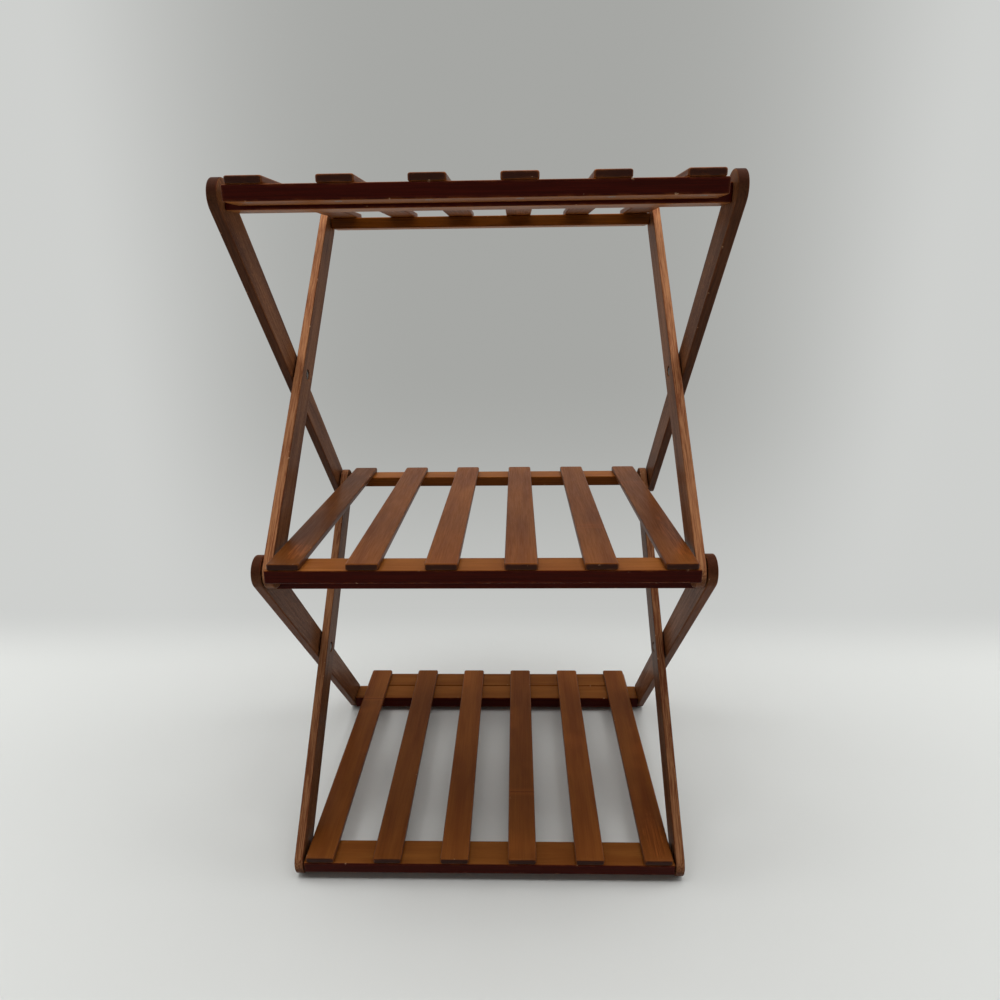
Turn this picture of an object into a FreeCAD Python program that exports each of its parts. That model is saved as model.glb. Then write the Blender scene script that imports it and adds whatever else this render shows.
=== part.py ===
import FreeCAD, Part
import math
import os

# Three-tier folding plant stand: two scissor frames stacked on each side, with a slatted shelf at each
# level. Millimetres. X runs across the stand, Y from front to rear and Z up. The origin is on the floor,
# under the middle of the stand.

# ---- driving dimensions ----
# Scissor frames
LEVEL_RISE = 328.0          # height from one shelf level to the next
INNER_LEG_REACH = 315.1     # along Y, from one end pivot to the other
OUTER_LEG_REACH = 285.8
LEG_WIDTH = 32.0
LEG_THICKNESS = 9.3
LEG_EASE = 1.3              # rounding of the leg edges
LEG_GAP = 1.4               # between an inner leg and the outer leg beside it
INNER_LEG_FACE = 196.0      # inner face of the inner legs, from the middle plane

# Shelves
SHELF_DEPTH = 362.7
SLAT_COUNT = 6
SLAT_WIDTH = 30.0
SLAT_THICKNESS = 6.4
SLAT_PITCH = 71.1
SLAT_EASE = 1.7
SLAT_CORNER = 2.8           # rounding of the upright edges at the ends of a slat
RAIL_DEPTH = 32.0
RAIL_THICKNESS = 12.6
RAIL_HALF_LENGTH = 195.3
RAIL_EASE = 1.5
TOP_HINGE_SETBACK = 26.0    # hinge pin to the nearest edge of its shelf
MIDDLE_HINGE_SETBACK = 26.0
BOTTOM_HINGE_SETBACK = 15.5

# Crossbars
BAR_DEPTH = 31.6
BAR_THICKNESS = 15.6
BAR_EASE = 1.5
BAR_BEHIND_RAIL = 0.7       # between a crossbar and the shelf rail that hooks over it
BAR_UNDER_SLATS = 0.3
MIDDLE_BAR_OFFSET_Y = 33.6  # from the front pivot to the middle of the bar
MIDDLE_BAR_OFFSET_Z = -19.4

# Pivots
SHANK_RADIUS = 3.0
HOLE_RADIUS = 3.05          # running fit on the shank
FACE_CLEARANCE = 0.3        # between a pivot part and a leg that turns beside it
HEAD_RADIUS = 6.5
HEAD_HEIGHT = 2.2
HEAD_EASE = 1.3
SOCKET_SIDES = 6
SOCKET_RADIUS = 2.0
SOCKET_DEPTH = 1.2
BOLT_END_DEPTH = 0.5        # bolt end below the inner face of its leg
RECESS_RADIUS = 6.0
RECESS_DEPTH = 3.0
RING_NUT_RADIUS = 5.8
RING_NUT_HEIGHT = 1.9
CAP_NUT_RADIUS = 5.5
CAP_NUT_LENGTH = 6.0
CAP_NUT_WALL = 1.4          # closed end
CAP_NUT_EASE = 1.7
PIN_REACH = 35.0            # length of a hinge pin inside its rail
PIN_HEAD_RADIUS = 5.7
PIN_HEAD_HEIGHT = 2.3
PIN_RECESS_RADIUS = 6.0
PIN_RECESS_DEPTH = 2.6
WASHER_RADIUS = 8.0

# Wood screws
BAR_SCREW_RADIUS = 2.0
BAR_SCREW_HEAD = 3.9
BAR_SCREW_LENGTH = 38.0
SLAT_SCREW_RADIUS = 1.6
SLAT_SCREW_HEAD = 3.0
SLAT_SCREW_LENGTH = 16.5
SLAT_SCREW_SETBACK = 8.5    # to the nearest edge of the shelf
SCREW_CLEARANCE = 0.05
SCREW_TIP = 2.5
SCREW_TIP_RADIUS = 0.3
RECESS_ARM_WIDTH = 0.25     # of the cross in a screw head, as a share of the head's radius
RECESS_ARM_LENGTH = 1.1
RECESS_ARM_DEPTH = 0.4
BAR_SCREW_OFFSETS = ((-10.5, 2.0), (-4.5, -4.0))  # from the middle of the bar's section

# ---- derived places ----
FOOT_RADIUS = LEG_WIDTH / 2
OUTER_LEG_FACE = INNER_LEG_FACE + LEG_THICKNESS + LEG_GAP
SIDE_FACE = OUTER_LEG_FACE + LEG_THICKNESS
BAR_DROP = BAR_THICKNESS / 2 + BAR_UNDER_SLATS - RAIL_THICKNESS / 2
PIVOT_SPREAD = (INNER_LEG_REACH + OUTER_LEG_REACH) / 2  # front pivots to rear pivots, along Y
LEVEL_SHIFT = (INNER_LEG_REACH - OUTER_LEG_REACH) / 2   # each level to the one below, along Y
OVERRUN = 1.0               # of a cutter past the face it cuts
ALONG_X = FreeCAD.Vector(1, 0, 0)
SIDES = {"left": -1, "right": 1}


def resting_tilt():
    """Tilt, in degrees, at which the front rail of the middle shelf rests on the cap nuts.

    The three sides of a triangle are known: rear pivot to front pivot, rear pivot to the middle of the
    rail's eased lower edge, and front pivot to the middle of that edge.
    """
    edge_reach = SHELF_DEPTH - MIDDLE_HINGE_SETBACK - RAIL_DEPTH + RAIL_EASE
    edge_drop = RAIL_THICKNESS / 2 - RAIL_EASE
    edge = math.hypot(edge_reach, edge_drop)
    gap = CAP_NUT_RADIUS + RAIL_EASE + FACE_CLEARANCE
    cosine = (PIVOT_SPREAD**2 + edge**2 - gap**2) / (2 * PIVOT_SPREAD * edge)
    return math.degrees(math.acos(cosine) + math.atan2(edge_drop, edge_reach))


MIDDLE_TILT = resting_tilt()

# The stand reaches from the front edge of the middle shelf to the rear edge of the top shelf. The lower
# crossing is set off from Y = 0 so that both are as far out.
REAR_REACH = INNER_LEG_REACH / 2 + LEVEL_SHIFT + TOP_HINGE_SETBACK
FRONT_REACH = (SHELF_DEPTH - MIDDLE_HINGE_SETBACK) * math.cos(math.radians(MIDDLE_TILT)) - INNER_LEG_REACH / 2
CROSSING_Y = (FRONT_REACH - REAR_REACH) / 2

# Pivots, as (Y, Z)
LOW, MIDDLE, TOP = (FOOT_RADIUS + LEVEL_RISE * level for level in range(3))
LOW_FRONT = (CROSSING_Y - INNER_LEG_REACH / 2, LOW)
LOW_REAR = (CROSSING_Y + OUTER_LEG_REACH / 2, LOW)
MIDDLE_FRONT = (CROSSING_Y - OUTER_LEG_REACH / 2, MIDDLE)
MIDDLE_REAR = (CROSSING_Y + INNER_LEG_REACH / 2, MIDDLE)
TOP_FRONT = (MIDDLE_REAR[0] - OUTER_LEG_REACH, TOP)
TOP_REAR = (MIDDLE_FRONT[0] + INNER_LEG_REACH, TOP)
LOW_CROSSING = (CROSSING_Y, (LOW + MIDDLE) / 2)
HIGH_CROSSING = (CROSSING_Y + LEVEL_SHIFT, (MIDDLE + TOP) / 2)

# Front edges of the shelves
TOP_SHELF_FRONT = TOP_REAR[0] + TOP_HINGE_SETBACK - SHELF_DEPTH
MIDDLE_SHELF_FRONT = MIDDLE_REAR[0] + MIDDLE_HINGE_SETBACK - SHELF_DEPTH
BOTTOM_SHELF_FRONT = LOW_FRONT[0] - BOTTOM_HINGE_SETBACK


def vec(x, y, z):
    return FreeCAD.Vector(x, y, z)


def save(name, *solids):
    """Write one piece, or one group of like pieces, under its own name."""
    shape = solids[0] if len(solids) == 1 else Part.makeCompound(list(solids))
    shape.exportStep(f"parts/{name}.step")


def bar(x0, x1, y0, y1, z0, z1, ease):
    """A square-cut length of wood with its edges eased."""
    block = Part.makeBox(x1 - x0, y1 - y0, z1 - z0, vec(x0, y0, z0))
    return block.makeFillet(ease, block.Edges)


def rod(radius, x0, x1, y, z):
    """A round length along X, from x0 outwards to x1."""
    return Part.makeCylinder(radius, x1 - x0, vec(x0, y, z), ALONG_X)


def cone(radius0, radius1, x0, x1, y, z):
    return Part.makeCone(radius0, radius1, x1 - x0, vec(x0, y, z), ALONG_X)


def on_side(solid, side):
    """A piece drawn on the right side, or its mirror image for the left."""
    if side > 0:
        return solid
    return solid.mirror(vec(0, 0, 0), ALONG_X)


def both_sides(solid):
    return [on_side(solid, side) for side in SIDES.values()]


def turned(solid, y, z, degrees):
    """A piece turned about the line along X through y, z."""
    copy = solid.copy()
    copy.rotate(vec(0, y, z), ALONG_X, degrees)
    return copy


# ---- legs ----
def leg_blank(x0, start, end):
    """A flat leg with a half-round at each end, centred on its end pivots."""
    length = math.hypot(end[0] - start[0], end[1] - start[1])
    along = vec(0, (end[0] - start[0]) / length, (end[1] - start[1]) / length)
    across = ALONG_X.cross(along) * FOOT_RADIUS
    first = vec(x0, *start)
    last = vec(x0, *end)
    start_arc = Part.Arc(first + across, first - along * FOOT_RADIUS, first - across)
    end_arc = Part.Arc(last - across, last + along * FOOT_RADIUS, last + across)
    outline = Part.Wire(
        [
            start_arc.toShape(),
            Part.LineSegment(first - across, last - across).toShape(),
            end_arc.toShape(),
            Part.LineSegment(last + across, first + across).toShape(),
        ]
    )
    blank = Part.Face(outline).extrude(vec(LEG_THICKNESS, 0, 0))
    rims = [edge for edge in blank.Edges if edge.BoundBox.XLength < LEG_THICKNESS / 2]
    return blank.makeFillet(LEG_EASE, rims)


def through_hole(x0, pivot):
    return rod(HOLE_RADIUS, x0 - OVERRUN, x0 + LEG_THICKNESS + OVERRUN, *pivot)


def nut_recess(pivot):
    return rod(RECESS_RADIUS, INNER_LEG_FACE - OVERRUN, INNER_LEG_FACE + RECESS_DEPTH, *pivot)


def pin_recess(pivot):
    outer = INNER_LEG_FACE + LEG_THICKNESS
    return rod(PIN_RECESS_RADIUS, outer - PIN_RECESS_DEPTH, outer + OVERRUN, *pivot)


def inner_leg(start, end, crossing, pinned):
    """An inner leg: a hole at each end and at the crossing, whose nut is sunk in the inner face."""
    leg = leg_blank(INNER_LEG_FACE, start, end)
    cutters = [through_hole(INNER_LEG_FACE, pivot) for pivot in (start, end, crossing)]
    cutters.append(nut_recess(crossing))
    cutters.append(pin_recess(pinned))
    return leg.cut(cutters)


def outer_leg(start, end, crossing, pivot, screws):
    """An outer leg: a hole at the crossing and at its pivot end, and sunk screws into its crossbars."""
    leg = leg_blank(OUTER_LEG_FACE, start, end)
    cutters = [through_hole(OUTER_LEG_FACE, place) for place in (crossing, pivot)]
    cutters += [bar_screw(place, SCREW_CLEARANCE) for place in screws]
    return leg.cut(cutters)


# ---- crossbars and their screws ----
def cross_recess(head_radius, centre, outward):
    """The cross in a screw head: two bars at right angles, sunk in from the outer face."""
    arms = []
    for turn in (0, 90):
        depth = RECESS_ARM_DEPTH * head_radius
        width = RECESS_ARM_WIDTH * head_radius
        reach = RECESS_ARM_LENGTH * head_radius
        arm = Part.makeBox(reach, width, depth + OVERRUN, vec(-reach / 2, -width / 2, -depth))
        arm.rotate(vec(0, 0, 0), vec(0, 0, 1), turn)
        arm.Placement = FreeCAD.Placement(centre, FreeCAD.Rotation(vec(0, 0, 1), outward)) * arm.Placement
        arms.append(arm)
    return arms


def bar_screw(place, grow=0.0):
    """A countersunk screw from the side face into a crossbar. Grown, it is the hole for one."""
    head = BAR_SCREW_HEAD - BAR_SCREW_RADIUS
    tip = SIDE_FACE - BAR_SCREW_LENGTH
    radius = BAR_SCREW_RADIUS + grow
    shank = rod(radius, tip + SCREW_TIP, SIDE_FACE - head, *place)
    point = cone(SCREW_TIP_RADIUS, radius, tip, tip + SCREW_TIP, *place)
    top = cone(radius, BAR_SCREW_HEAD + grow, SIDE_FACE - head, SIDE_FACE, *place)
    return shank.fuse([point, top]).removeSplitter()


def bar_screw_places(centre):
    """The two screws at each end of a crossbar, set towards the middle line of its leg."""
    y, z = centre
    return [(y + dy, z + dz) for dy, dz in BAR_SCREW_OFFSETS]


def crossbar(centre, screws):
    y, z = centre
    wood = bar(
        -OUTER_LEG_FACE,
        OUTER_LEG_FACE,
        y - BAR_DEPTH / 2,
        y + BAR_DEPTH / 2,
        z - BAR_THICKNESS / 2,
        z + BAR_THICKNESS / 2,
        BAR_EASE,
    )
    holes = []
    for place in screws:
        holes += both_sides(bar_screw(place, SCREW_CLEARANCE))
    return wood.cut(holes)


def screw_set(screws):
    solids = []
    for place in screws:
        recess = cross_recess(BAR_SCREW_HEAD, vec(SIDE_FACE, *place), ALONG_X)
        solids += both_sides(bar_screw(place).cut(recess))
    return solids


# ---- shelves ----
def slat_centres():
    half = (SLAT_COUNT - 1) / 2
    return [(number - half) * SLAT_PITCH for number in range(SLAT_COUNT)]


def slat_screw(x, y, underside, grow=0.0):
    """A countersunk screw up through a rail into a slat. Grown, it is the hole for one."""
    head = SLAT_SCREW_HEAD - SLAT_SCREW_RADIUS
    radius = SLAT_SCREW_RADIUS + grow
    up = vec(0, 0, 1)
    shank_length = SLAT_SCREW_LENGTH - head - SCREW_TIP
    top = Part.makeCone(SLAT_SCREW_HEAD + grow, radius, head, vec(x, y, underside), up)
    shank = Part.makeCylinder(radius, shank_length, vec(x, y, underside + head), up)
    tip = vec(x, y, underside + head + shank_length)
    point = Part.makeCone(radius, SCREW_TIP_RADIUS, SCREW_TIP, tip, up)
    return shank.fuse([top, point]).removeSplitter()


def shelf_rail(front, pivot_height, screw_holes, hinge_y=None):
    wood = bar(
        -RAIL_HALF_LENGTH,
        RAIL_HALF_LENGTH,
        front,
        front + RAIL_DEPTH,
        pivot_height - RAIL_THICKNESS / 2,
        pivot_height + RAIL_THICKNESS / 2,
        RAIL_EASE,
    )
    holes = list(screw_holes)
    if hinge_y is not None:
        inner_end = RAIL_HALF_LENGTH - PIN_REACH - OVERRUN
        hole = rod(HOLE_RADIUS, inner_end, RAIL_HALF_LENGTH + OVERRUN, hinge_y, pivot_height)
        holes += both_sides(hole)
    return wood.cut(holes)


def shelf_slat(x, front, pivot_height, screw_holes):
    """A slat, with its four corners rounded before its upper and lower edges are eased."""
    corner = vec(x - SLAT_WIDTH / 2, front, pivot_height + RAIL_THICKNESS / 2)
    block = Part.makeBox(SLAT_WIDTH, SHELF_DEPTH, SLAT_THICKNESS, corner)
    upright = [edge for edge in block.Edges if edge.BoundBox.ZLength > SLAT_THICKNESS / 2]
    board = block.makeFillet(SLAT_CORNER, upright)
    rims = [edge for edge in board.Edges if edge.BoundBox.ZLength < SLAT_THICKNESS / 2]
    return board.makeFillet(SLAT_EASE, rims).cut(screw_holes)


def make_shelf(name, front, hinge, tilt=0.0):
    """A shelf: six slats on two rails, with holes for the hinge pins in the ends of one rail."""
    hinge_y, pivot_height = hinge
    rear = front + SHELF_DEPTH
    underside = pivot_height - RAIL_THICKNESS / 2
    starts = {"front": front, "rear": rear - RAIL_DEPTH}
    lines = {"front": front + SLAT_SCREW_SETBACK, "rear": rear - SLAT_SCREW_SETBACK}
    screws = []
    for y in lines.values():
        for x in slat_centres():
            recess = cross_recess(SLAT_SCREW_HEAD, vec(x, y, underside), vec(0, 0, -1))
            screws.append(slat_screw(x, y, underside).cut(recess))
    holes = {
        row: [slat_screw(x, y, underside, SCREW_CLEARANCE) for x in slat_centres()]
        for row, y in lines.items()
    }
    for row, start in starts.items():
        hinged = hinge_y if start < hinge_y < start + RAIL_DEPTH else None
        rail = shelf_rail(start, pivot_height, holes[row], hinged)
        save(f"{name}_{row}_rail", turned(rail, hinge_y, pivot_height, tilt))
    for number, x in enumerate(slat_centres()):
        pair = [holes["front"][number], holes["rear"][number]]
        slat = shelf_slat(x, front, pivot_height, pair)
        save(f"{name}_slat_{number + 1}", turned(slat, hinge_y, pivot_height, tilt))
    group = [turned(screw, hinge_y, pivot_height, tilt) for screw in screws]
    save(f"{name}_screws", *group)


# ---- pivot hardware ----
def round_head(x0, pivot):
    """A low round head with a hexagon socket."""
    head = rod(HEAD_RADIUS, x0, x0 + HEAD_HEIGHT, *pivot)
    rim = [edge for edge in head.Edges if edge.BoundBox.XMin > x0 + HEAD_HEIGHT / 2 and edge.Closed]
    head = head.makeFillet(HEAD_EASE, rim)
    corners = []
    for number in range(SOCKET_SIDES + 1):
        angle = math.tau * number / SOCKET_SIDES
        y = pivot[0] + SOCKET_RADIUS * math.cos(angle)
        z = pivot[1] + SOCKET_RADIUS * math.sin(angle)
        corners.append(vec(x0 + HEAD_HEIGHT - SOCKET_DEPTH, y, z))
    socket = Part.Face(Part.makePolygon(corners)).extrude(vec(SOCKET_DEPTH + OVERRUN, 0, 0))
    return head.cut(socket)


def crossing_bolt(pivot):
    """The bolt of a crossing: it is held by the inner leg, and the outer leg turns on it."""
    head_face = SIDE_FACE + FACE_CLEARANCE
    shank = rod(SHANK_RADIUS, INNER_LEG_FACE + BOLT_END_DEPTH, head_face, *pivot)
    return shank.fuse(round_head(head_face, pivot)).removeSplitter()


def ring_nut(pivot):
    seat = INNER_LEG_FACE + RECESS_DEPTH
    nut = rod(RING_NUT_RADIUS, seat - RING_NUT_HEIGHT, seat, *pivot)
    return nut.cut(rod(HOLE_RADIUS, seat - RING_NUT_HEIGHT - OVERRUN, seat + OVERRUN, *pivot))


def front_bolt(pivot):
    """The bolt of a front pivot: it is held by the outer leg, and the inner leg turns on it."""
    end = INNER_LEG_FACE - CAP_NUT_LENGTH + CAP_NUT_WALL
    shank = rod(SHANK_RADIUS, end, SIDE_FACE, *pivot)
    return shank.fuse(round_head(SIDE_FACE, pivot)).removeSplitter()


def cap_nut(pivot):
    """A round nut with a domed closed end, on the inner end of a front bolt."""
    face = INNER_LEG_FACE - FACE_CLEARANCE
    closed_end = face - CAP_NUT_LENGTH
    nut = rod(CAP_NUT_RADIUS, closed_end, face, *pivot)
    rim = [edge for edge in nut.Edges if edge.Closed and edge.BoundBox.XMax < closed_end + CAP_NUT_WALL]
    nut = nut.makeFillet(CAP_NUT_EASE, rim)
    return nut.cut(rod(HOLE_RADIUS, closed_end + CAP_NUT_WALL, face + OVERRUN, *pivot))


def long_pin(pivot):
    """The pin of a rear pivot: through both legs and into the rear rail of the middle shelf."""
    head_face = SIDE_FACE + FACE_CLEARANCE
    shank = rod(SHANK_RADIUS, RAIL_HALF_LENGTH - PIN_REACH, head_face, *pivot)
    return shank.fuse(round_head(head_face, pivot)).removeSplitter()


def short_pin(pivot):
    """A shelf hinge pin: its head is sunk in the outer face of the inner leg."""
    seat = INNER_LEG_FACE + LEG_THICKNESS - PIN_RECESS_DEPTH
    shank = rod(SHANK_RADIUS, RAIL_HALF_LENGTH - PIN_REACH, seat, *pivot)
    head = rod(PIN_HEAD_RADIUS, seat, seat + PIN_HEAD_HEIGHT, *pivot)
    return shank.fuse(head).removeSplitter()


def washer(pivot, on_outer_leg=False):
    """A spacer in the gap between two legs, against the leg that holds its bolt."""
    inner_side = INNER_LEG_FACE + LEG_THICKNESS
    shift = FACE_CLEARANCE if on_outer_leg else 0.0
    start = inner_side + shift
    end = start + LEG_GAP - FACE_CLEARANCE
    ring = rod(WASHER_RADIUS, start, end, *pivot)
    return ring.cut(rod(HOLE_RADIUS, start - OVERRUN, end + OVERRUN, *pivot))


# ---- the whole stand ----
def crossbar_centres():
    """Middle of each crossbar's section. The top and bottom bars lie beside a shelf rail."""
    beside_rail = RAIL_DEPTH + BAR_BEHIND_RAIL + BAR_DEPTH / 2
    return {
        "top": (TOP_SHELF_FRONT + beside_rail, TOP - BAR_DROP),
        "middle": (MIDDLE_FRONT[0] + MIDDLE_BAR_OFFSET_Y, MIDDLE + MIDDLE_BAR_OFFSET_Z),
        "bottom": (BOTTOM_SHELF_FRONT + SHELF_DEPTH - beside_rail, LOW - BAR_DROP),
    }


def make_frames():
    """Eight legs, three crossbars and their screws."""
    screws = {name: bar_screw_places(centre) for name, centre in crossbar_centres().items()}
    for name, centre in crossbar_centres().items():
        save(f"{name}_crossbar", crossbar(centre, screws[name]))
        save(f"{name}_crossbar_screws", *screw_set(screws[name]))

    low_bars = screws["middle"] + screws["bottom"]
    legs = {
        "lower_inner_leg": inner_leg(LOW_FRONT, MIDDLE_REAR, LOW_CROSSING, LOW_FRONT),
        "upper_inner_leg": inner_leg(MIDDLE_FRONT, TOP_REAR, HIGH_CROSSING, TOP_REAR),
        "lower_outer_leg": outer_leg(LOW_REAR, MIDDLE_FRONT, LOW_CROSSING, MIDDLE_FRONT, low_bars),
        "upper_outer_leg": outer_leg(MIDDLE_REAR, TOP_FRONT, HIGH_CROSSING, MIDDLE_REAR, screws["top"]),
    }
    for name, leg in legs.items():
        for side_name, side in SIDES.items():
            save(f"{name}_{side_name}", on_side(leg, side))


def make_pivots():
    """The bolts, nuts, pins and washers, each as a pair, one per side."""
    for name, pivot in {"lower": LOW_CROSSING, "upper": HIGH_CROSSING}.items():
        save(f"{name}_crossing_bolts", *both_sides(crossing_bolt(pivot)))
        save(f"{name}_crossing_nuts", *both_sides(ring_nut(pivot)))
        save(f"{name}_crossing_washers", *both_sides(washer(pivot)))
    save("front_pivot_bolts", *both_sides(front_bolt(MIDDLE_FRONT)))
    save("front_pivot_nuts", *both_sides(cap_nut(MIDDLE_FRONT)))
    save("front_pivot_washers", *both_sides(washer(MIDDLE_FRONT, on_outer_leg=True)))
    save("rear_pivot_pins", *both_sides(long_pin(MIDDLE_REAR)))
    save("rear_pivot_washers", *both_sides(washer(MIDDLE_REAR)))
    save("top_shelf_hinge_pins", *both_sides(short_pin(TOP_REAR)))
    save("bottom_shelf_hinge_pins", *both_sides(short_pin(LOW_FRONT)))


def make_shelves():
    """The top and middle shelves hinge at the rear, and the bottom shelf at the front."""
    make_shelf("top_shelf", TOP_SHELF_FRONT, TOP_REAR)
    make_shelf("middle_shelf", MIDDLE_SHELF_FRONT, MIDDLE_REAR, tilt=-MIDDLE_TILT)
    make_shelf("bottom_shelf", BOTTOM_SHELF_FRONT, LOW_FRONT)


os.makedirs("parts", exist_ok=True)
make_frames()
make_pivots()
make_shelves()
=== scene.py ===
import math

import bpy
import numpy as np
from mathutils import Matrix, Vector


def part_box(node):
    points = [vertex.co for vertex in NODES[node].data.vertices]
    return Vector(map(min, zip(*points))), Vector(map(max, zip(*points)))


# A folding plant stand with three slatted shelves, in red-brown stained wood with dark steel pivots.
# Metres. X runs across the stand, Y from front to rear and Z up, as in the model of the stand itself.

bl_info = {
    "name": "Tiered plant stand",
    "version": (1, 0, 0),
    "blender": (4, 5, 0),
    "location": "3D View > Sidebar > Plant stand",
    "description": "Finishes of a folding three-tier plant stand, and a plain stage for it",
    "category": "Object",
}

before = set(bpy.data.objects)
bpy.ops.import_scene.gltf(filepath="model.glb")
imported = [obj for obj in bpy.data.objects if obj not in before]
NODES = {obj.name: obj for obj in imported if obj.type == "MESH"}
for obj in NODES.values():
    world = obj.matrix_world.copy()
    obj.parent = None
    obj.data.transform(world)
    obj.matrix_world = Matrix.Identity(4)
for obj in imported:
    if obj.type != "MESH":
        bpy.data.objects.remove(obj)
TIERS = ("top", "middle", "bottom")
SIDES = ("left", "right")
LEG_KINDS = (("lower", "inner"), ("lower", "outer"), ("upper", "inner"), ("upper", "outer"))
STEEL_KINDS = ("bolts", "nuts", "pins", "screws")
SLATS_PER_SHELF = 6
ALONG_X = Vector((1, 0, 0))
ALONG_Y = Vector((0, 1, 0))

# The wooden pieces are numbered, and its number gives each piece a grain and a shade of its own.
FIRST_RAIL = 40
FIRST_CROSSBAR = 60
FIRST_LEG = 80
GOLDEN_STEP = 0.6180339887      # steps that spread numbers evenly from 0 to 1
PLASTIC_STEP = 0.7548776662
OFFSET_SALTS = (1, 2, 3)
OFFSET_REACH = 3
SHADE_SALT = 5

# How much darker each shelf's wood is painted, as a share: painted shade on the bottom shelf, which lies
# under the two above it.
SLAT_PAINTED_SHADE = {"top": 0.0, "middle": 0.0, "bottom": -0.2}
RAIL_PAINTED_SHADE = {"top": 0.0, "middle": 0.0, "bottom": -0.32}

# Patterns: noise cells per metre, and for those drawn out along the grain, the scale along it.
FIGURE_CELLS = 60
FIGURE_DRAW = 0.12
PORE_CELLS = 1700
PORE_DRAW = 4                   # as a multiple of the fibres' scale along the grain
SPECK_CELLS = 1500
SPECK_DRAW = 0.16
STRAND_CELLS = 950
STRAND_DRAW = 0.035
THIN_STAIN_CELLS = 17
RUBBED_CELLS = 85
RAGGED_CELLS = 130
CHIP_CELLS = 210
STEEL_CELLS = 420
WASHER_CELLS = 900

# Relief and edges
WOOD_RELIEF = 0.0003
STEEL_RELIEF = 0.0001
WASHER_RELIEF = 0.0002
COAT_ROUGHNESS = 0.16
WOOD_EDGE = 0.0022              # how far from an edge its wear reaches
STEEL_EDGE = 0.0006
EDGE_RAYS = 4


def on_screen(red, green, blue):
    """A colour as a screen shows it, 0 to 255, in the linear values that a shader takes."""
    shown = np.array((red, green, blue)) / 255
    return tuple(float(v) for v in ((shown + 0.055) / 1.055) ** 2.4)


def colour(name, description, default):
    return bpy.props.FloatVectorProperty(
        name=name, description=description, default=default, subtype="COLOR", size=3, min=0, max=1
    )


def length(name, description, default):
    return bpy.props.FloatProperty(
        name=name, description=description, default=default, min=0, unit="LENGTH", precision=5
    )


def share(name, description, default):
    return bpy.props.FloatProperty(
        name=name, description=description, default=default, min=0, max=1, subtype="FACTOR"
    )


# ---- what a user would change ----
class StandWood(bpy.types.PropertyGroup):
    slat_light: colour("Slat, light", "Light grain of the slats", on_screen(134, 77, 31))
    slat_dark: colour("Slat, dark", "Dark grain of the slats", on_screen(110, 57, 20))
    slat_patch: colour("Slat, patch", "Where the stain of a slat is thin", on_screen(148, 80, 34))
    slat_side: colour("Slat, sides", "Narrow sides of the slats", on_screen(72, 40, 23))
    rail_light: colour("Rail, light", "Light grain on top of rails and bars", on_screen(154, 94, 42))
    rail_dark: colour("Rail, dark", "Dark grain on top of rails and bars", on_screen(134, 76, 32))
    # The front rails' narrow faces: deep stain with painted shade. The rear rails' narrow faces: the
    # same stain with painted light, which makes them golden.
    rail_side_stain_and_shade: colour("Front rail, sides", "Deep stain on the narrow faces", on_screen(68, 15, 4))
    rear_side_painted_light: colour("Rear rail, sides", "Golden stain on the narrow faces", on_screen(110, 57, 12))
    leg_light: colour("Leg edge, light", "Light strands, inner legs", on_screen(190, 133, 90))
    leg_dark: colour("Leg edge, dark", "Stained grain, inner legs", on_screen(132, 74, 46))
    leg_deep: colour("Leg edge, deep", "Stain, outer legs", on_screen(70, 40, 23))
    leg_side: colour("Leg side, light", "Light grain of the broad sides", on_screen(130, 84, 52))
    leg_side_dark: colour("Leg side, dark", "Dark grain of the broad sides", on_screen(88, 51, 29))
    end_grain: colour("End grain", "Cut ends, where the stain soaks in", on_screen(42, 12, 5))
    bare_wood: colour("Bare wood", "Small chips on the edges", on_screen(200, 158, 122))
    fibre_width: length("Fibre width", "Width of the fine grain lines", 0.0011)
    fibre_length: length("Fibre length", "Length of the fine grain lines", 0.07)
    slat_sheen: share("Slat sheen", "How strongly the slats mirror what is round them", 0.09)
    frame_sheen: share("Frame sheen", "The same for rails, crossbars and legs", 0.03)
    lacquer: share("Lacquer", "Weight of the clear coat", 0.05)
    wear: share("Wear", "How far the eased edges are rubbed", 0.55)


class StandSteel(bpy.types.PropertyGroup):
    steel: colour("Steel", "Dark oxide on bolts, nuts, pins and screws", on_screen(92, 86, 80))
    worn_steel: colour("Worn steel", "Bright metal at rubbed edges", on_screen(186, 180, 172))
    washer: colour("Washer", "Dark fibre spacers between the legs", on_screen(50, 38, 32))


class StandStage(bpy.types.PropertyGroup):
    floor: colour("Floor", "Pale floor", (0.69, 0.70, 0.68))
    wall: colour("Backdrop", "Backdrop behind the stand", (0.38, 0.385, 0.37))
    # The paler tone towards the backdrop's sides is painted light.
    wall_side: colour("Backdrop, sides", "Backdrop towards its sides", (0.62, 0.63, 0.615))
    lens: bpy.props.FloatProperty(
        name="Lens", description="Focal length", default=0.024704, unit="CAMERA"
    )
    sky: share("Sky", "Even light from all round", 0.15)


# ---- materials ----
def scatter(number, salt):
    """A fixed number from 0 to 1 for the piece with that number: what is left over by even steps."""
    return math.modf((number + 1) * GOLDEN_STEP + salt * PLASTIC_STEP)[0]


def own_shade(number, spread):
    """How much lighter or darker than its kind the piece with that number is, as a share."""
    return (scatter(number, SHADE_SALT) - 0.5) * spread


def shifted(tone, amount):
    """A tone made lighter or darker by a share of itself."""
    return tuple(min(1.0, v * (1 + amount)) for v in tone)


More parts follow.
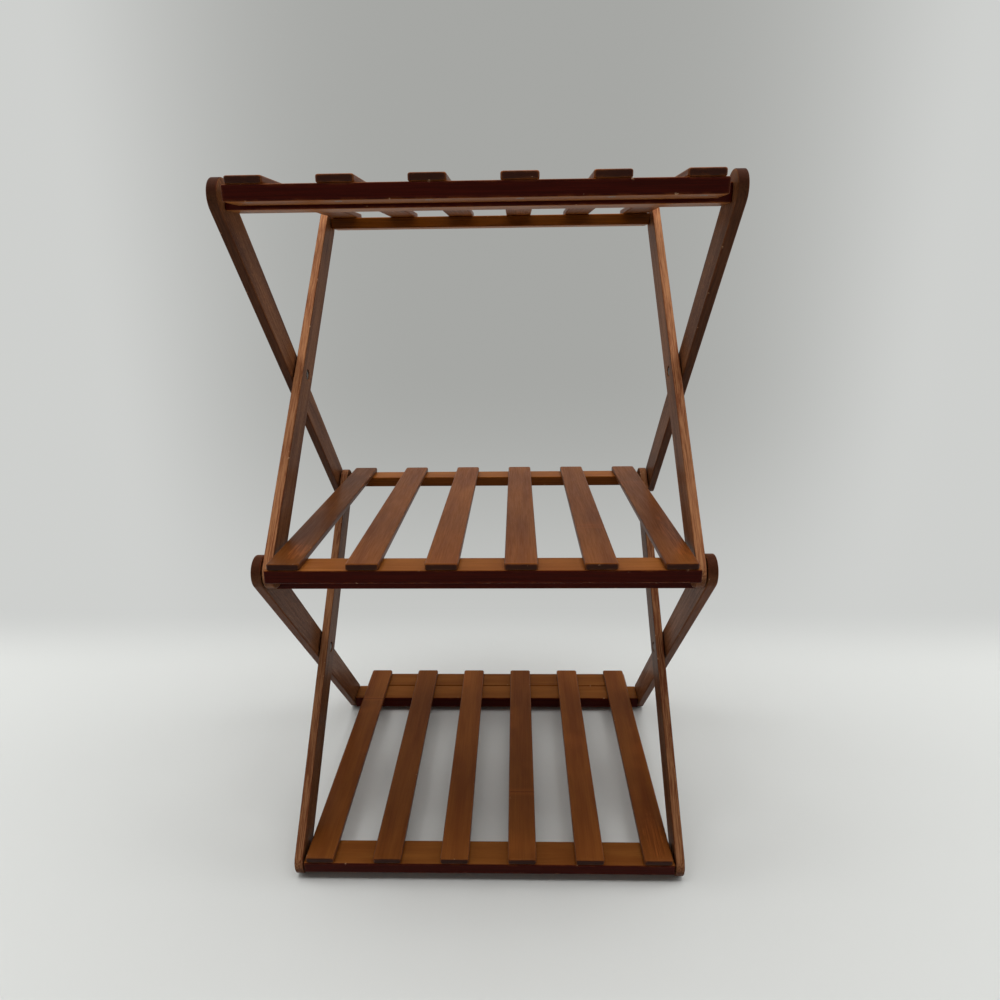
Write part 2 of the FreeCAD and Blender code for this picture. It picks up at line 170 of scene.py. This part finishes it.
class Finish:
    """A material as it is built up. Most methods add a node and return the socket that it gives."""

    def __init__(self, name):
        self.material = bpy.data.materials.new(name)
        self.material.use_nodes = True
        self.tree = self.material.node_tree
        self.shader = self.tree.nodes["Principled BSDF"]
        self.place = self.add("ShaderNodeTexCoord", output="Object")
        self.facing = self.place.node.outputs["Normal"]

    def feed(self, socket, value):
        if isinstance(value, bpy.types.NodeSocket):
            self.tree.links.new(value, socket)
        elif socket.type == "RGBA":
            socket.default_value = (*tuple(value)[:3], 1)
        else:
            socket.default_value = value

    def surface(self, **inputs):
        """Feed inputs of the shader, named with _ for a space."""
        for name, value in inputs.items():
            self.feed(self.shader.inputs[name.replace("_", " ")], value)

    def add(self, kind, inputs=None, output=0, **settings):
        node = self.tree.nodes.new(kind)
        for key, value in settings.items():
            setattr(node, key, value)
        for key, value in (inputs or {}).items():
            self.feed(node.inputs[key], value)
        return node.outputs[output]

    def moved(self, vector, location=(0, 0, 0), rotation=(0, 0, 0), scale=(1, 1, 1)):
        inputs = {"Vector": vector, "Location": location, "Rotation": rotation, "Scale": scale}
        return self.add("ShaderNodeMapping", inputs)

    def noise(self, vector, scale, detail, roughness=0.5, distortion=0.0):
        inputs = {"Vector": vector, "Scale": scale, "Detail": detail, "Roughness": roughness}
        inputs["Distortion"] = distortion
        return self.add("ShaderNodeTexNoise", inputs)

    def between(self, value, low, high, start=0.0, end=1.0):
        """A smooth step of value from low to high, as start to end."""
        inputs = {"Value": value, "From Min": low, "From Max": high, "To Min": start, "To Max": end}
        return self.add("ShaderNodeMapRange", inputs, interpolation_type="SMOOTHSTEP")

    def maths(self, operation, first, second=0.0):
        return self.add("ShaderNodeMath", {0: first, 1: second}, operation=operation)

    def measure(self, operation, first, second=(0, 0, 0)):
        """A number that comes from vectors, such as a length."""
        inputs = {0: first, 1: second}
        return self.add("ShaderNodeVectorMath", inputs, output="Value", operation=operation)

    def mix(self, amount, first, second):
        return self.add("ShaderNodeMix", {0: amount, 6: first, 7: second}, output=2, data_type="RGBA")

    def along(self, direction):
        """How far the surface faces along a direction or against it, 0 to 1."""
        return self.maths("ABSOLUTE", self.measure("DOT_PRODUCT", self.facing, direction))

    def edges(self, radius):
        """1 on an eased edge and 0 on a flat face: how far the rounded normal leaves the real one."""
        rounded = self.add("ShaderNodeBevel", {"Radius": radius}, samples=EDGE_RAYS)
        real = self.add("ShaderNodeNewGeometry", output="Normal")
        return self.between(self.measure("DOT_PRODUCT", rounded, real), 0.998, 0.94)

    def bump(self, height, strength, distance):
        inputs = {"Height": height, "Strength": strength, "Distance": distance}
        self.surface(Normal=self.add("ShaderNodeBump", inputs))

    def dress(self, node):
        """Give the finish to a piece of the stand, in each of its material slots."""
        slots = NODES[node].material_slots
        if not slots:
            raise RuntimeError(f"{node} has no material slot")
        for slot in slots:
            slot.material = self.material


class Wood(Finish):
    """Stained wood: broad figure, fine fibres and short pores, all drawn out along the grain.

    Each piece is cut from another place of the pattern. Its tone is built up by laying one over another.
    """

    def __init__(self, name, direction, number, light, dark, props, streaks, rough, sheen):
        super().__init__(name)
        self.direction = direction
        self.props = props
        turn = direction.rotation_difference(ALONG_Y).to_euler()
        offset = tuple(scatter(number, salt) * OFFSET_REACH for salt in OFFSET_SALTS)
        self.grain = self.moved(self.place, location=offset, rotation=tuple(turn))
        narrow = props.fibre_width / props.fibre_length
        self.figure = self.drawn(FIGURE_DRAW, FIGURE_CELLS, detail=3, distortion=0.3)
        self.fibre = self.drawn(narrow, 1 / props.fibre_width, detail=4, roughness=0.65)
        pores = self.drawn(narrow * PORE_DRAW, PORE_CELLS, detail=1)
        self.tone = self.mix(self.between(self.figure, 0.25, 0.75), dark, light)
        self.cover(self.between(self.fibre, 0.62, 0.36, 0, streaks), shifted(dark, -0.45))
        self.cover(self.between(self.fibre, 0.56, 0.74, 0, streaks * 0.7), shifted(light, 0.25))
        self.cover(self.between(pores, 0.6, 0.72, 0, streaks * 0.9), shifted(dark, -0.5))
        self.surface(
            Roughness=self.between(self.fibre, 0.3, 0.7, rough + 0.1, rough - 0.04),
            Specular_IOR_Level=sheen,
            Coat_Weight=props.lacquer,
            Coat_Roughness=COAT_ROUGHNESS,
        )
        raised = self.maths("MULTIPLY", self.fibre, 0.7)
        self.bump(self.maths("ADD", raised, self.maths("MULTIPLY", pores, 0.3)), 0.3, WOOD_RELIEF)

    def drawn(self, scale_along, cells, **settings):
        """Noise drawn out along the grain."""
        return self.noise(self.moved(self.grain, scale=(1, scale_along, 1)), cells, **settings)

    def cover(self, amount, tone):
        """Lay another tone over the piece, by an amount from 0 to 1."""
        self.tone = self.mix(amount, self.tone, tone)

    def complete(self, node, rub, ends=0.92):
        """Soak the cut ends, rub the eased edges, chip them here and there, and dress a piece.

        Rub is the tone of a rubbed edge.
        """
        self.cover(self.between(self.along(self.direction), 0.6, 0.9, 0, ends), self.props.end_grain)
        edge = self.edges(WOOD_EDGE)
        worn = self.noise(self.place, RUBBED_CELLS, detail=3)
        rubbed = self.between(worn, 0.42, 0.7, 0, self.props.wear)
        self.cover(self.maths("MULTIPLY", edge, rubbed), rub)
        chip = self.between(self.noise(self.place, CHIP_CELLS, detail=1), 0.735, 0.76)
        self.cover(self.maths("MULTIPLY", edge, chip), self.props.bare_wood)
        self.surface(Base_Color=self.tone)
        self.dress(node)


def knuckle(finish, place):
    """The thin dark line, with a pale band beside it, where the cane of a slat had a joint."""
    across = finish.add("ShaderNodeSeparateXYZ", {0: finish.place}, output="Y")
    wavy = finish.maths("ADD", across, finish.maths("MULTIPLY", finish.fibre, 0.002))
    far = finish.maths("ABSOLUTE", finish.maths("SUBTRACT", wavy, place + 0.001))
    finish.cover(finish.between(far, 0.008, 0.001, 0, 0.3), finish.props.slat_patch)
    finish.cover(finish.between(far, 0.0012, 0.0004, 0, 0.75), shifted(finish.props.slat_dark, -0.5))


def worn_spot(finish, place, reach):
    """A rubbed place on top of a slat: thin ruddy stain with a ragged rim, broken up along the grain."""
    away = finish.add("ShaderNodeVectorMath", {0: finish.place, 1: place}, operation="SUBTRACT")
    shaped = finish.moved(away, scale=(1 / reach[0], 1 / reach[1], 0))
    ragged = finish.noise(finish.place, RAGGED_CELLS, detail=4, roughness=0.7)
    rim = finish.between(ragged, 0.2, 0.8, -0.5, 0.5)
    far = finish.maths("ADD", finish.measure("LENGTH", shaped), rim)
    thin = finish.props.slat_patch
    broken = finish.between(finish.fibre, 0.42, 0.6)
    ruddy = finish.mix(broken, shifted(thin, -0.65), shifted(thin, -0.1))
    finish.cover(finish.between(far, 1.0, 0.55, 0, 0.6), ruddy)


def stain_rail(node, number, side, tier_painted_shade, props):
    """A rail or crossbar, with its grain along X. Side is the tone of its narrow faces: stain, with
    painted shade on front rails and crossbars and painted light on rear rails.
    """
    # The tier's share is painted shade, which darkens the bottom shelf.
    shade = own_shade(number, 0.2) + tier_painted_shade
    light = shifted(props.rail_light, shade)
    dark = shifted(props.rail_dark, shade)
    sheen = props.frame_sheen
    finish = Wood(node, ALONG_X, number, light, dark, props, streaks=0.25, rough=0.34, sheen=sheen)
    # Faces towards front and rear take the side tone. Set against the pale top, this is partly stain and
    # partly painted light and shade.
    deep = finish.mix(finish.between(finish.fibre, 0.35, 0.65), shifted(side, -0.4), side)
    finish.cover(finish.between(finish.along(ALONG_Y), 0.35, 0.8), deep)
    finish.complete(node, rub=shifted(props.slat_patch, -0.1))


def stain_leg(node, lean, number, edge, painted_side_shade, props):
    """A leg, with its grain along its lean. Edge is the ground and the strands of its narrow faces, and
    the side's share is painted shade.
    """
    shade = own_shade(number, 0.25) + painted_side_shade
    light = shifted(props.leg_side, shade)
    dark = shifted(props.leg_side_dark, shade)
    sheen = props.frame_sheen
    finish = Wood(node, lean, number, light, dark, props, streaks=0.5, rough=0.38, sheen=sheen)
    specks = finish.drawn(SPECK_DRAW, SPECK_CELLS, detail=2)
    finish.cover(finish.between(specks, 0.58, 0.74, 0, 0.5), shifted(props.leg_side, 0.9))
    finish.cover(finish.between(specks, 0.44, 0.30, 0, 0.6), shifted(props.leg_side_dark, -0.5))
    ground, strand = edge
    strands = finish.drawn(STRAND_DRAW, STRAND_CELLS, detail=3, roughness=0.7)
    narrow = finish.mix(finish.between(finish.figure, 0.35, 0.65, 0, 0.5), ground, strand)
    narrow = finish.mix(finish.between(strands, 0.44, 0.60, 0, 0.85), narrow, strand)
    narrow = finish.mix(finish.between(strands, 0.46, 0.34, 0, 0.6), narrow, shifted(ground, -0.3))
    finish.cover(finish.between(finish.along(ALONG_X), 0.8, 0.45), narrow)
    finish.complete(node, rub=shifted(props.rail_side_stain_and_shade, 0.8), ends=0.6)


def darken_steel(node, number, props):
    """Blotched dark oxide, with bright metal at the rubbed edges."""
    finish = Finish(node)
    place = finish.moved(finish.place, (number, 0, 0))
    blotch = finish.noise(place, STEEL_CELLS, detail=4, roughness=0.6)
    tone = finish.mix(finish.between(blotch, 0.35, 0.65), shifted(props.steel, -0.45), props.steel)
    rubbed = finish.maths("MULTIPLY", finish.edges(STEEL_EDGE), 0.7)
    finish.surface(
        Base_Color=finish.mix(rubbed, tone, props.worn_steel),
        Roughness=finish.between(blotch, 0.3, 0.7, 0.28, 0.5),
        Metallic=1.0,
    )
    finish.bump(blotch, 0.2, STEEL_RELIEF)
    finish.dress(node)


def colour_washer(node, props):
    """Dull mottled fibre."""
    finish = Finish(node)
    mottle = finish.noise(finish.place, WASHER_CELLS, detail=3)
    finish.surface(
        Base_Color=finish.mix(mottle, shifted(props.washer, -0.3), shifted(props.washer, 0.3)),
        Roughness=finish.between(mottle, 0.3, 0.7, 0.5, 0.7),
    )
    finish.bump(mottle, 0.2, WASHER_RELIEF)
    finish.dress(node)


# ---- operators ----
class STAND_OT_slats(bpy.types.Operator):
    """Stain the eighteen slats, each cut from another board"""

    bl_idname = "stand.slats"
    bl_label = "Slats"

    # Along Y, where a cane joint shows: (shelf, slat) to place.
    knuckles = {
        ("middle", 5): -0.0848,
        ("middle", 6): 0.0884,
        ("top", 2): 0.061,
        ("bottom", 1): 0.104,
        ("bottom", 4): -0.083,
    }
    # Slats that took more stain than the others of their shelf, as a share.
    darker = {("middle", 1): -0.5, ("middle", 6): -0.28}
    # Rubbed places: (shelf, slat) to X, Y and Z of the middle, and the reach along X and Y.
    worn = {
        ("middle", 1): ((-0.1740, -0.1560, 0.35), (0.012, 0.026)),
        ("middle", 6): ((0.1850, -0.1150, 0.35), (0.012, 0.070)),
        ("bottom", 6): ((0.1780, -0.1500, 0.03), (0.012, 0.040)),
    }

    def execute(self, context):
        for tier, shelf in enumerate(TIERS):
            for slat in range(1, SLATS_PER_SHELF + 1):
                number = tier * SLATS_PER_SHELF + slat
                self.stain(shelf, slat, number, context.scene.stand_wood)
        return {"FINISHED"}

    def stain(self, shelf, slat, number, props):
        node = f"{shelf}_shelf_slat_{slat}"
        # The shelf's share is painted shade, which darkens the bottom shelf's slats.
        shade = own_shade(number, 0.25) + SLAT_PAINTED_SHADE[shelf] + self.darker.get((shelf, slat), 0.0)
        light = shifted(props.slat_light, shade)
        dark = shifted(props.slat_dark, shade)
        sheen = props.slat_sheen
        finish = Wood(node, ALONG_Y, number, light, dark, props, streaks=0.24, rough=0.36, sheen=sheen)
        patches = finish.noise(finish.place, THIN_STAIN_CELLS, detail=2)
        finish.cover(finish.between(patches, 0.58, 0.78, 0, 0.22), props.slat_patch)
        if (shelf, slat) in self.knuckles:
            knuckle(finish, self.knuckles[(shelf, slat)])
        if (shelf, slat) in self.worn:
            worn_spot(finish, *self.worn[(shelf, slat)])
        finish.cover(finish.between(finish.along(ALONG_X), 0.5, 0.9, 0, 0.7), props.slat_side)
        finish.complete(node, rub=shifted(props.slat_patch, -0.1))


class STAND_OT_rails(bpy.types.Operator):
    """Stain the shelf rails: pale on top and deep red-brown on their narrow faces, partly stain and
    partly painted light and shade
    """

    bl_idname = "stand.rails"
    bl_label = "Shelf rails"

    def execute(self, context):
        props = context.scene.stand_wood
        # Front narrow faces: stain with painted shade. Rear narrow faces: the same stain with painted
        # light.
        sides = {"front": props.rail_side_stain_and_shade, "rear": props.rear_side_painted_light}
        for tier, shelf in enumerate(TIERS):
            for row, (place, side) in enumerate(sides.items()):
                number = FIRST_RAIL + tier * len(sides) + row
                stain_rail(f"{shelf}_shelf_{place}_rail", number, side, RAIL_PAINTED_SHADE[shelf], props)
        return {"FINISHED"}


class STAND_OT_crossbars(bpy.types.Operator):
    """Stain the three crossbars between the outer legs"""

    bl_idname = "stand.crossbars"
    bl_label = "Crossbars"

    def execute(self, context):
        props = context.scene.stand_wood
        for tier, shelf in enumerate(TIERS):
            number = FIRST_CROSSBAR + tier
            # Their narrow faces take the front rails' tone, stain with painted shade.
            stain_rail(f"{shelf}_crossbar", number, props.rail_side_stain_and_shade, RAIL_PAINTED_SHADE[shelf], props)
        return {"FINISHED"}


class STAND_OT_legs(bpy.types.Operator):
    """Stain the eight legs: flecked along their narrow faces and streaked on their broad sides"""

    bl_idname = "stand.legs"
    bl_label = "Legs"

    # How much lighter or darker the narrow faces are, as a share. For the lower inner legs it is painted
    # shade, from the shelves above them.
    edge_tones_and_painted_shade = {
        ("lower", "inner"): -0.38,
        ("lower", "outer"): 0.5,
        ("upper", "inner"): -0.12,
        ("upper", "outer"): 0.0,
    }
    # The same for the broad sides: painted shade on the lower inner legs, from the shelves above them.
    painted_side_shades = {("lower", "inner"): -0.4}

    def execute(self, context):
        props = context.scene.stand_wood
        tones = {
            "inner": (props.leg_dark, props.leg_light),
            "outer": (props.leg_deep, shifted(props.leg_deep, 0.5)),
        }
        for kind, (level, place) in enumerate(LEG_KINDS):
            # The edge and side shares darken the lower inner legs with painted shade.
            edge = tuple(shifted(tone, self.edge_tones_and_painted_shade[(level, place)]) for tone in tones[place])
            painted_side_shade = self.painted_side_shades.get((level, place), 0.0)
            for side_number, side in enumerate(SIDES):
                node = f"{level}_{place}_leg_{side}"
                low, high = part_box(node)
                rise = high - low
                lean = Vector((0, rise.y if place == "inner" else -rise.y, rise.z)).normalized()
                number = FIRST_LEG + kind * len(SIDES) + side_number
                stain_leg(node, lean, number, edge, painted_side_shade, props)
        return {"FINISHED"}


class STAND_OT_hardware(bpy.types.Operator):
    """Darken the bolts, nuts, pins and screws, with bright rubbed edges, and colour the washers"""

    bl_idname = "stand.hardware"
    bl_label = "Bolts, nuts, pins, screws and washers"

    def execute(self, context):
        props = context.scene.stand_steel
        for number, node in enumerate(sorted(n for n in NODES if n.endswith(STEEL_KINDS))):
            darken_steel(node, number, props)
        for node in sorted(n for n in NODES if n.endswith("washers")):
            colour_washer(node, props)
        return {"FINISHED"}


# ---- stage ----
FLOOR_FRONT = -4.0
SWEEP_START = 1.9
SWEEP_RADIUS = 0.9
SWEEP_STEPS = 24
WALL_TOP = 3.6
STAGE_HALF_WIDTH = 4.5
FLOOR_ROUGHNESS = 0.4
FLOOR_SHEEN = 0.2

# The backdrop's tones, a painted light that grows towards the sides and the floor, fan out from a place
# in front of the middle of the floor and above it.
FAN_BEFORE = 0.75
FAN_HEIGHT = 0.61
FAN_NEAREST = 0.3
# Where the floor gives way to the backdrop's own tone: along Y, and by distance from its middle.
BACKDROP_BEHIND = (0.22, 0.44)
BACKDROP_ROUND = (0.9, 1.5)

SKY_TINT = (0.98, 1.0, 1.0)
# Name, place, target, width, depth and power in watts.
LAMPS = (
    ("overhead", (0, -0.08, 2.2), (0, -0.02, 0.35), 2.5, 1.4, 46),
    ("left_side", (-1.9, 0.2, 0.9), (0, 0, 0.4), 1.2, 1.6, 14),
    ("right_side", (1.9, 0.2, 0.9), (0, 0, 0.4), 1.2, 1.6, 14),
)
SENSOR_WIDTH = 36               # mm
MM_PER_METRE = 1000


def sweep():
    """Floor and backdrop as one sheet.

    A line of floor, a quarter circle and a line of wall, one after the other, are carried along X.
    """
    turn = np.linspace(0, math.pi / 2, SWEEP_STEPS)
    wall = SWEEP_START + SWEEP_RADIUS
    y = np.concatenate(([FLOOR_FRONT], SWEEP_START + SWEEP_RADIUS * np.sin(turn), [wall]))
    z = np.concatenate(([0.0], SWEEP_RADIUS * (1 - np.cos(turn)), [WALL_TOP]))
    x = np.array((-STAGE_HALF_WIDTH, STAGE_HALF_WIDTH))
    points = np.stack(np.broadcast_arrays(x[None, :], y[:, None], z[:, None]), axis=-1)
    row = np.arange(len(y) - 1)[:, None] * 2
    quads = row + np.array([[0, 1, 3, 2]])
    mesh = bpy.data.meshes.new("sweep")
    mesh.from_pydata(points.reshape(-1, 3).tolist(), [], quads.tolist())
    mesh.shade_smooth()
    sheet = bpy.data.objects.new("sweep", mesh)
    bpy.context.scene.collection.objects.link(sheet)
    return sheet


def seen_by_eye(tree):
    """1 where a ray comes from the camera, also by way of gloss or glass, and 0 for all other light."""
    path = tree.nodes.new("ShaderNodeLightPath")
    seen = path.outputs["Is Camera Ray"]
    for ray in ("Is Glossy Ray", "Is Transmission Ray"):
        either = tree.nodes.new("ShaderNodeMath")
        either.operation = "MAXIMUM"
        tree.links.new(seen, either.inputs[0])
        tree.links.new(path.outputs[ray], either.inputs[1])
        seen = either.outputs[0]
    return seen


def lamp(name, place, target, width, depth, power):
    """A soft lamp that lights the stand and leaves no patch of its own in the gloss of the floor."""
    light = bpy.data.lights.new(name, "AREA")
    light.shape = "RECTANGLE"
    light.size = width
    light.size_y = depth
    light.energy = power
    holder = bpy.data.objects.new(name, light)
    holder.location = place
    holder.visible_glossy = False
    holder.rotation_euler = (Vector(target) - Vector(place)).to_track_quat("-Z", "Y").to_euler()
    bpy.context.scene.collection.objects.link(holder)


class STAND_OT_stage(bpy.types.Operator):
    """Set out the floor and backdrop, the soft lamps and the camera"""

    bl_idname = "stand.stage"
    bl_label = "Stage"

    camera_place = Vector((0.03232, -0.74618, 0.60950))
    camera_yaw = -0.02651
    camera_pitch = -0.31719
    camera_roll = -0.01318

    def execute(self, context):
        props = context.scene.stand_stage
        self.paint(sweep(), props)
        self.light(context.scene, props)
        self.aim(context.scene, props)
        return {"FINISHED"}

    def paint(self, sheet, props):
        """Pale floor, which takes the light, and from a little way off a pale backdrop.

        The camera, and gloss on the stand, see the backdrop glow at its set tone, with painted light on
        it: it grows paler to both sides and towards the floor, by how far aside and how high each place
        is for its distance behind the place that the tones fan out from.
        """
        finish = Finish("stage_paint")
        behind = finish.add("ShaderNodeSeparateXYZ", {0: finish.place}, output="Y")
        across = behind.node.outputs["X"]
        height = behind.node.outputs["Z"]
        deep = finish.maths("MAXIMUM", finish.maths("ADD", behind, FAN_BEFORE), FAN_NEAREST)
        aside = finish.maths("POWER", finish.maths("DIVIDE", across, deep), 2)
        raised = finish.maths("DIVIDE", finish.maths("SUBTRACT", height, FAN_HEIGHT), deep)
        # Painted light: the backdrop grows paler to the sides and towards the floor.
        tone = finish.mix(finish.between(aside, 0.0, 0.36), props.wall, props.wall_side)
        tone = finish.mix(finish.between(raised, -0.62, -0.12, 0.85, 0), tone, props.wall_side)
        finish.surface(
            Base_Color=props.floor, Roughness=FLOOR_ROUGHNESS, Specular_IOR_Level=FLOOR_SHEEN
        )
        glow_with_painted_light = finish.add("ShaderNodeEmission", {"Color": tone, "Strength": 1.0}, output="Emission")
        away = finish.measure("LENGTH", finish.place)
        far = (finish.between(behind, *BACKDROP_BEHIND), finish.between(away, *BACKDROP_ROUND))
        beyond = finish.maths("MULTIPLY", finish.maths("MAXIMUM", *far), seen_by_eye(finish.tree))
        both = {0: beyond, 1: finish.shader.outputs["BSDF"], 2: glow_with_painted_light}
        output = finish.tree.nodes["Material Output"].inputs["Surface"]
        finish.feed(output, finish.add("ShaderNodeMixShader", both, output="Shader"))
        sheet.data.materials.append(finish.material)

    def light(self, scene, props):
        """Three soft lamps, and even light from all round, which shows as the backdrop's pale tone."""
        world = bpy.data.worlds.new("studio")
        world.use_nodes = True
        tree = world.node_tree
        even = tree.nodes["Background"]
        even.inputs["Color"].default_value = (*SKY_TINT, 1)
        even.inputs["Strength"].default_value = props.sky
        pale = tree.nodes.new("ShaderNodeBackground")
        pale.inputs["Color"].default_value = (*props.wall_side, 1)
        both = tree.nodes.new("ShaderNodeMixShader")
        tree.links.new(seen_by_eye(tree), both.inputs[0])
        tree.links.new(even.outputs[0], both.inputs[1])
        tree.links.new(pale.outputs[0], both.inputs[2])
        tree.links.new(both.outputs[0], tree.nodes["World Output"].inputs["Surface"])
        scene.world = world
        for settings in LAMPS:
            lamp(*settings)

    def aim(self, scene, props):
        """A camera at the height and angle from which the stand was seen."""
        yaw, pitch, roll = self.camera_yaw, self.camera_pitch, self.camera_roll
        level = Vector((math.sin(yaw), math.cos(yaw), 0))
        ahead = level * math.cos(pitch) + Vector((0, 0, math.sin(pitch)))
        right = Vector((math.cos(yaw), -math.sin(yaw), 0))
        up = right.cross(ahead)
        across = right * math.cos(roll) + up * math.sin(roll)
        upright = up * math.cos(roll) - right * math.sin(roll)
        data = bpy.data.cameras.new("camera")
        data.lens = props.lens * MM_PER_METRE
        data.sensor_width = SENSOR_WIDTH
        camera = bpy.data.objects.new("camera", data)
        turn = Matrix((across, upright, -ahead)).transposed().to_4x4()
        camera.matrix_world = Matrix.Translation(self.camera_place) @ turn
        scene.collection.objects.link(camera)
        scene.camera = camera
        scene.view_settings.view_transform = "Standard"


class STAND_PT_sidebar(bpy.types.Panel):
    """The stand's finishes and its stage"""

    bl_idname = "STAND_PT_sidebar"
    bl_label = "Plant stand"
    bl_space_type = "VIEW_3D"
    bl_region_type = "UI"
    bl_category = "Plant stand"

    def draw(self, context):
        for group_name in GROUPS:
            group = getattr(context.scene, group_name)
            box = self.layout.box()
            for name in group.bl_rna.properties.keys():
                if name not in {"rna_type", "name"}:
                    box.prop(group, name)
        for operator in OPERATORS:
            self.layout.operator(operator.bl_idname)


OPERATORS = (
    STAND_OT_slats,
    STAND_OT_rails,
    STAND_OT_crossbars,
    STAND_OT_legs,
    STAND_OT_hardware,
    STAND_OT_stage,
)
GROUPS = {"stand_wood": StandWood, "stand_steel": StandSteel, "stand_stage": StandStage}


def register():
    for kind in (*GROUPS.values(), *OPERATORS, STAND_PT_sidebar):
        bpy.utils.register_class(kind)
    for name, kind in GROUPS.items():
        setattr(bpy.types.Scene, name, bpy.props.PointerProperty(type=kind))


def unregister():
    for name in GROUPS:
        delattr(bpy.types.Scene, name)
    for kind in (STAND_PT_sidebar, *reversed(OPERATORS), *reversed(GROUPS.values())):
        bpy.utils.unregister_class(kind)


def main():
    register()
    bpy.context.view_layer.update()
    bpy.ops.stand.slats()
    bpy.ops.stand.rails()
    bpy.ops.stand.crossbars()
    bpy.ops.stand.legs()
    bpy.ops.stand.hardware()
    bpy.ops.stand.stage()


if __name__ == "__main__":
    main()
